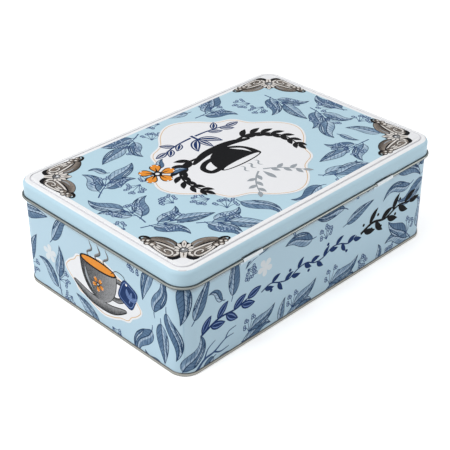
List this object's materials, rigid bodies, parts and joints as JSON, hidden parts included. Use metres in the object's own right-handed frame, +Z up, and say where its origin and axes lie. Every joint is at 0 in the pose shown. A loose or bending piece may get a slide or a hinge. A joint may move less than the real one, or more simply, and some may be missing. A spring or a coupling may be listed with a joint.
{
  "type": "hinged-lid tea tin",
  "caption": "Flat rectangular tinplate tea tin with rounded corners, a shut hinged lid and a blue leaf print.",
  "frame": {"origin": "middle of the footprint, on the plane the tin stands on", "axes": "+Z up, X along the tin's length, Y along its depth; the lid opens at the front, -Y, and its two hinges are at the back, +Y"},
  "size_m": [0.23, 0.1545, 0.074],
  "materials": {
    "can": "gloss-lacquered printed tinplate, light blue",
    "lid": "gloss-lacquered printed tinplate, light blue with a white border",
    "seam": "bare rolled tinplate, dull"
  },
  "bodies": {
    "root": {"tin_body": "can", "lid": "lid", "base": "seam"}
  },
  "joints": []
}
